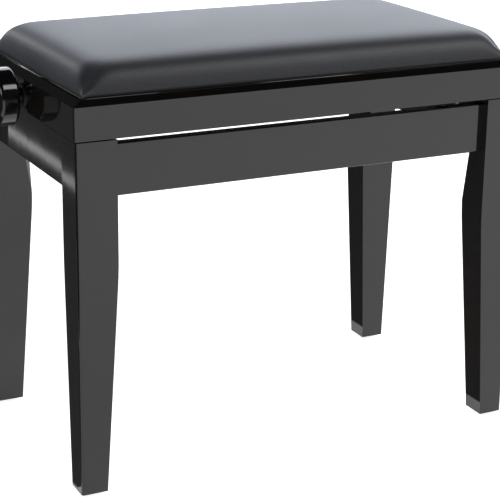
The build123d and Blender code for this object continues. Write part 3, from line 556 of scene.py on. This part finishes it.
def settle(points):
    """Keeps the cover inside the rim where it meets it, easing outwards only above the lip."""
    kept = points.copy()
    above = np.clip((points[:, 2] - CUSHION_BASE_Z) / SETTLE_EASE, 0, 1)
    allow = SETTLE_OUTWARD * above
    for axis, half in enumerate((COVER_HALF_X, COVER_HALF_Y)):
        limit = half - CUSHION_EDGE_GAP + allow
        kept[:, axis] = np.clip(kept[:, axis], -limit, limit)
    kept[:, 2] = np.minimum(kept[:, 2], COVER_TOP_Z + SETTLE_UPWARD)
    return kept


cushion = cushion_body("cushion", 0.0, *CUSHION_GRID)
write_points(cushion.data, settle(corner_folds(read_points(cushion.data))))
cushion.data.polygons.foreach_set("use_smooth", np.full(len(cushion.data.polygons), True))
dress(cushion, "vinyl", "seat")
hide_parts("seat_cover")

MARGIN_WIDTH = 0.0262
MARGIN_TOP_Z = BOX_Z + 0.0312
MARGIN_THICKNESS = 0.0012
STAPLE_PITCH = 0.022
STAPLE_HALF = 0.005
STAPLE_WIRE = 0.0005
STAPLE_RISE = 0.0003


def rectangle_ring(name, half_x, half_y, profile):
    """Carries a closed profile of (inset, height) pairs round a rectangle, mitred at its four corners."""
    corners = np.array([(-1, -1), (1, -1), (1, 1), (-1, 1)])
    across = corners[:, 0:1] * (half_x - profile[:, 0])
    along = corners[:, 1:2] * (half_y - profile[:, 0])
    rings = np.stack([across, along, profile[:, 1] + 0 * across], axis=-1)
    points = np.concatenate([rings, rings[:1]])
    return recalculated(mesh_piece(name, points, grid_faces(len(points), len(profile), True)))


def margin_profile():
    """A flat band with a rounded, slightly thickened inner edge, as a closed loop of (inset, height)."""
    turn = np.linspace(-math.pi / 2, math.pi / 2, 7)
    half = MARGIN_THICKNESS / 2
    edge = np.stack([MARGIN_WIDTH + half * np.cos(turn), MARGIN_TOP_Z - half + half * np.sin(turn)], axis=-1)
    return np.concatenate([[(0, MARGIN_TOP_Z), (0, MARGIN_TOP_Z - MARGIN_THICKNESS)], edge])


def staple_wires(middles, directions):
    """Staple crowns: an eight-sided wire on a shallow arch, its two ends turned up into the board.

    Along the crown t runs from -1 to 1, the drop is 1 - t^6, so the wire is level and then turns up."""
    t = np.linspace(-1, 1, 9)
    turn = np.linspace(0, 2 * math.pi, 8, endpoint=False)
    drop = STAPLE_RISE + STAPLE_WIRE * 2 * (1 - t**6)
    points, faces = [], []
    for index, (middle, direction) in enumerate(zip(middles, directions)):
        side = np.array([-direction[1], direction[0]])
        crown = middle + t[:, None, None] * STAPLE_HALF * direction
        ring_xy = crown + STAPLE_WIRE * np.cos(turn)[None, :, None] * side
        height = MARGIN_TOP_Z - MARGIN_THICKNESS - drop[:, None] + STAPLE_WIRE * (1 + np.sin(turn))[None, :]
        points.append(np.concatenate([ring_xy, height[..., None]], axis=-1).reshape(-1, 3))
        start = index * len(t) * len(turn)
        faces += (grid_faces(len(t), len(turn), True) + start).tolist()
        faces.append(list(range(start, start + len(turn)))[::-1])
        faces.append(list(range(start + (len(t) - 1) * len(turn), start + len(t) * len(turn))))
    return recalculated(mesh_piece("margin_staples", np.concatenate(points), faces))


def staple_places():
    """Evenly spaced places along the middle of the margin's four sides, each with its side's direction."""
    middles, directions = [], []
    x_line = COVER_HALF_X - MARGIN_WIDTH / 2
    y_line = COVER_HALF_Y - MARGIN_WIDTH / 2
    for side in (-1, 1):
        for x in np.arange(-x_line + STAPLE_PITCH, x_line - STAPLE_PITCH / 2, STAPLE_PITCH):
            middles.append(np.array([x, side * y_line]))
            directions.append(np.array([1.0, 0.0]))
        for y in np.arange(-y_line + STAPLE_PITCH, y_line - STAPLE_PITCH / 2, STAPLE_PITCH):
            middles.append(np.array([side * x_line, y]))
            directions.append(np.array([0.0, 1.0]))
    return middles, directions


dress(rectangle_ring("cover_margin", COVER_HALF_X, COVER_HALF_Y, margin_profile()), "vinyl", "seat")
dress(staple_wires(*staple_places()), "zinc_steel", "seat")

foam_core = cushion_body("foam_core", FOAM_INSET, *FOAM_GRID)
dress(foam_core, "foam", "seat")
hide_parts("seat_foam")

# ---- the lip's rounded edge beside the cushion ----
BEAD_INSET = 0.0127
BEAD_RADIUS = 0.0018


def rim_bead():
    """A round bead carried along the rim's rectangle, its profile a circle."""
    turn = np.linspace(0, 2 * math.pi, 20, endpoint=False)
    inset = BEAD_INSET + BEAD_RADIUS * np.cos(turn)
    circle = np.stack([inset, RIM_TOP_Z + BEAD_RADIUS * np.sin(turn)], axis=-1)
    return rectangle_ring("rim_bead", RIM_HALF_X, -RIM_LOW[1], circle)


dress(rim_bead(), "black_lacquer", "seat")

# ---- camera at the front left, looking slightly down ----
CAMERA_PLACE = Vector((-0.832, -1.652, BOX_Z + 0.4097))
CAMERA_YAW = 0.469
CAMERA_PITCH = 0.318
CAMERA_ROLL = 0.0147
CAMERA_LENS = 115.9
SENSOR = 36.0


def aim(place, yaw, pitch, roll):
    """The camera's matrix: yaw turns it from +Y towards +X, pitch looks down, roll turns it clockwise."""
    ahead = Vector((math.sin(yaw) * math.cos(pitch), math.cos(yaw) * math.cos(pitch), -math.sin(pitch)))
    right = Vector((math.cos(yaw), -math.sin(yaw), 0))
    upward = right.cross(ahead)
    turned = right * math.cos(roll) + upward * math.sin(roll)
    upright = upward * math.cos(roll) - right * math.sin(roll)
    matrix = Matrix((turned, upright, -ahead)).transposed().to_4x4()
    matrix.translation = place
    return matrix


camera_data = bpy.data.cameras.new("camera")
camera_data.lens = CAMERA_LENS
camera_data.sensor_width = SENSOR
camera_data.clip_end = 60
camera = bpy.data.objects.new("camera", camera_data)
bpy.context.scene.collection.objects.link(camera)
camera.matrix_world = aim(CAMERA_PLACE, CAMERA_YAW, CAMERA_PITCH, CAMERA_ROLL)
bpy.context.scene.camera = camera


# ---- studio: a white floor, dark panels seen only in reflections, and soft lights ----
def plain_material(name, colour, glow, roughness=0.9):
    """A plain studio surface that also gives off a little light."""
    material = bpy.data.materials.new(name)
    material.use_nodes = True
    shader = material.node_tree.nodes["Principled BSDF"]
    shader.inputs["Base Color"].default_value = (*colour, 1)
    shader.inputs["Roughness"].default_value = roughness
    shader.inputs["Specular IOR Level"].default_value = 0.0
    shader.inputs["Emission Color"].default_value = (1, 1, 1, 1)
    shader.inputs["Emission Strength"].default_value = glow
    return material


def stage_panel(name, corners, material, seen):
    """A flat stage panel; seen is whether the camera sees it, and it is otherwise only in reflections."""
    panel = mesh_piece(name, corners, [(0, 1, 2, 3)], smooth=False)
    panel.data.materials.append(material)
    panel.visible_camera = seen
    panel.visible_diffuse = seen
    panel.visible_shadow = seen
    return panel


def level_corners(low_x, high_x, low_y, high_y, z):
    """The four corners of a level rectangle."""
    return [(low_x, low_y, z), (high_x, low_y, z), (high_x, high_y, z), (low_x, high_y, z)]


FLOOR_HALF = 14.0
FLOOR_WHITE = plain_material("floor_white", (0.88, 0.88, 0.88), 0.9)
FLAG_BLACK = plain_material("flag_black", (0.004, 0.004, 0.004), 0.08)
FLOOR_CORNERS = level_corners(-FLOOR_HALF, FLOOR_HALF, -FLOOR_HALF, FLOOR_HALF, 0)
stage_panel("floor", FLOOR_CORNERS, FLOOR_WHITE, True)
FLAG_X, FLAG_FRONT, FLAG_REAR, FLAG_TOP = -0.70, -0.6, 3.2, 0.55
FLAG_BOTTOM = 0.02
FLAG_CORNERS = [
    (FLAG_X, FLAG_FRONT, FLAG_BOTTOM),
    (FLAG_X, FLAG_REAR, FLAG_BOTTOM),
    (FLAG_X, FLAG_REAR, FLAG_TOP),
    (FLAG_X, FLAG_FRONT, FLAG_TOP),
]
stage_panel("flag_left", FLAG_CORNERS, FLAG_BLACK, False)
CARD_Z = 0.0015
CARD_SPANS = {
    "card_left": (FLAG_X, -0.28, -0.13, FLAG_REAR),
    "card_rear": (-0.28, 0.225, 0.13, FLAG_REAR),
    # Painted shade: the card under the bench is a black sheet that reflections see in place of the shaded
    # floor beneath it.
    "shade_card_under": (-0.10, 0.225, -0.13, 0.13),
}
for card, span in CARD_SPANS.items():
    stage_panel(card, level_corners(*span, CARD_Z), FLAG_BLACK, False)


def strip_light(name, place, target, length, width, along, power):
    """A long narrow light aimed at a point, its length lying along the given axis."""
    data = bpy.data.lights.new(name, "AREA")
    data.shape = "RECTANGLE"
    data.size = length
    data.size_y = width
    data.energy = power
    light = bpy.data.objects.new(name, data)
    bpy.context.scene.collection.objects.link(light)
    backward = (Vector(place) - Vector(target)).normalized()
    lengthways = (Vector(along) - backward * Vector(along).dot(backward)).normalized()
    matrix = Matrix((lengthways, backward.cross(lengthways), backward)).transposed().to_4x4()
    matrix.translation = place
    light.matrix_world = matrix
    return light


def area_light(name, place, target, size, power, colour=(1, 1, 1)):
    """A square soft light aimed at a point."""
    data = bpy.data.lights.new(name, "AREA")
    data.size = size
    data.energy = power
    data.color = colour
    light = bpy.data.objects.new(name, data)
    bpy.context.scene.collection.objects.link(light)
    light.location = place
    light.rotation_euler = (Vector(target) - Vector(place)).to_track_quat("-Z", "Y").to_euler()
    return light


MIDDLE = (0.0, 0.0, BOX_Z)
area_light("rear_soft", (2.1, 2.75, 1.6), MIDDLE, 3.4, 108.0, (0.90, 0.94, 1.0))
strip_light("front_strip", (1.4, -1.8, 2.4), MIDDLE, 2.2, 0.9, (1, 0, 0), 40.0)
strip_light("left_strip", (-0.94, 2.86, 1.59), MIDDLE, 1.8, 0.5, (0, 1, 0), 14.0)
area_light("front_left_soft", (-2.4, -1.6, 1.6), MIDDLE, 1.2, 16.0)
area_light("front_right_soft", (2.6, -2.2, 2.0), MIDDLE, 1.4, 12.0)

# The surround is faint low down and nearly black overhead, and plain white to the camera only.
SURROUND_LOW = 0.043
SURROUND_HIGH = 0.0015
SURROUND_FADE = (0.30, 0.72)
world = bpy.data.worlds.new("surround")
bpy.context.scene.world = world
world.use_nodes = True
world_nodes, world_links = world.node_tree.nodes, world.node_tree.links
direction = world_nodes.new("ShaderNodeTexCoord").outputs["Generated"]
split_direction = world_nodes.new("ShaderNodeSeparateXYZ")
world_links.new(direction, split_direction.inputs[0])
fade = world_nodes.new("ShaderNodeMapRange")
fade.interpolation_type = "SMOOTHSTEP"
fade.inputs["From Min"].default_value = SURROUND_FADE[0]
fade.inputs["From Max"].default_value = SURROUND_FADE[1]
fade.inputs["To Min"].default_value = SURROUND_LOW
fade.inputs["To Max"].default_value = SURROUND_HIGH
world_links.new(split_direction.outputs["Z"], fade.inputs["Value"])
backdrop = world_nodes.new("ShaderNodeMath")
backdrop.operation = "MAXIMUM"
world_links.new(fade.outputs["Result"], backdrop.inputs[0])
world_links.new(world_nodes.new("ShaderNodeLightPath").outputs["Is Camera Ray"], backdrop.inputs[1])
world_links.new(backdrop.outputs[0], world_nodes["Background"].inputs["Strength"])
world_nodes["Background"].inputs["Color"].default_value = (1, 1, 1, 1)

bpy.context.scene.view_settings.view_transform = "Standard"
bpy.context.scene.view_settings.look = "None"
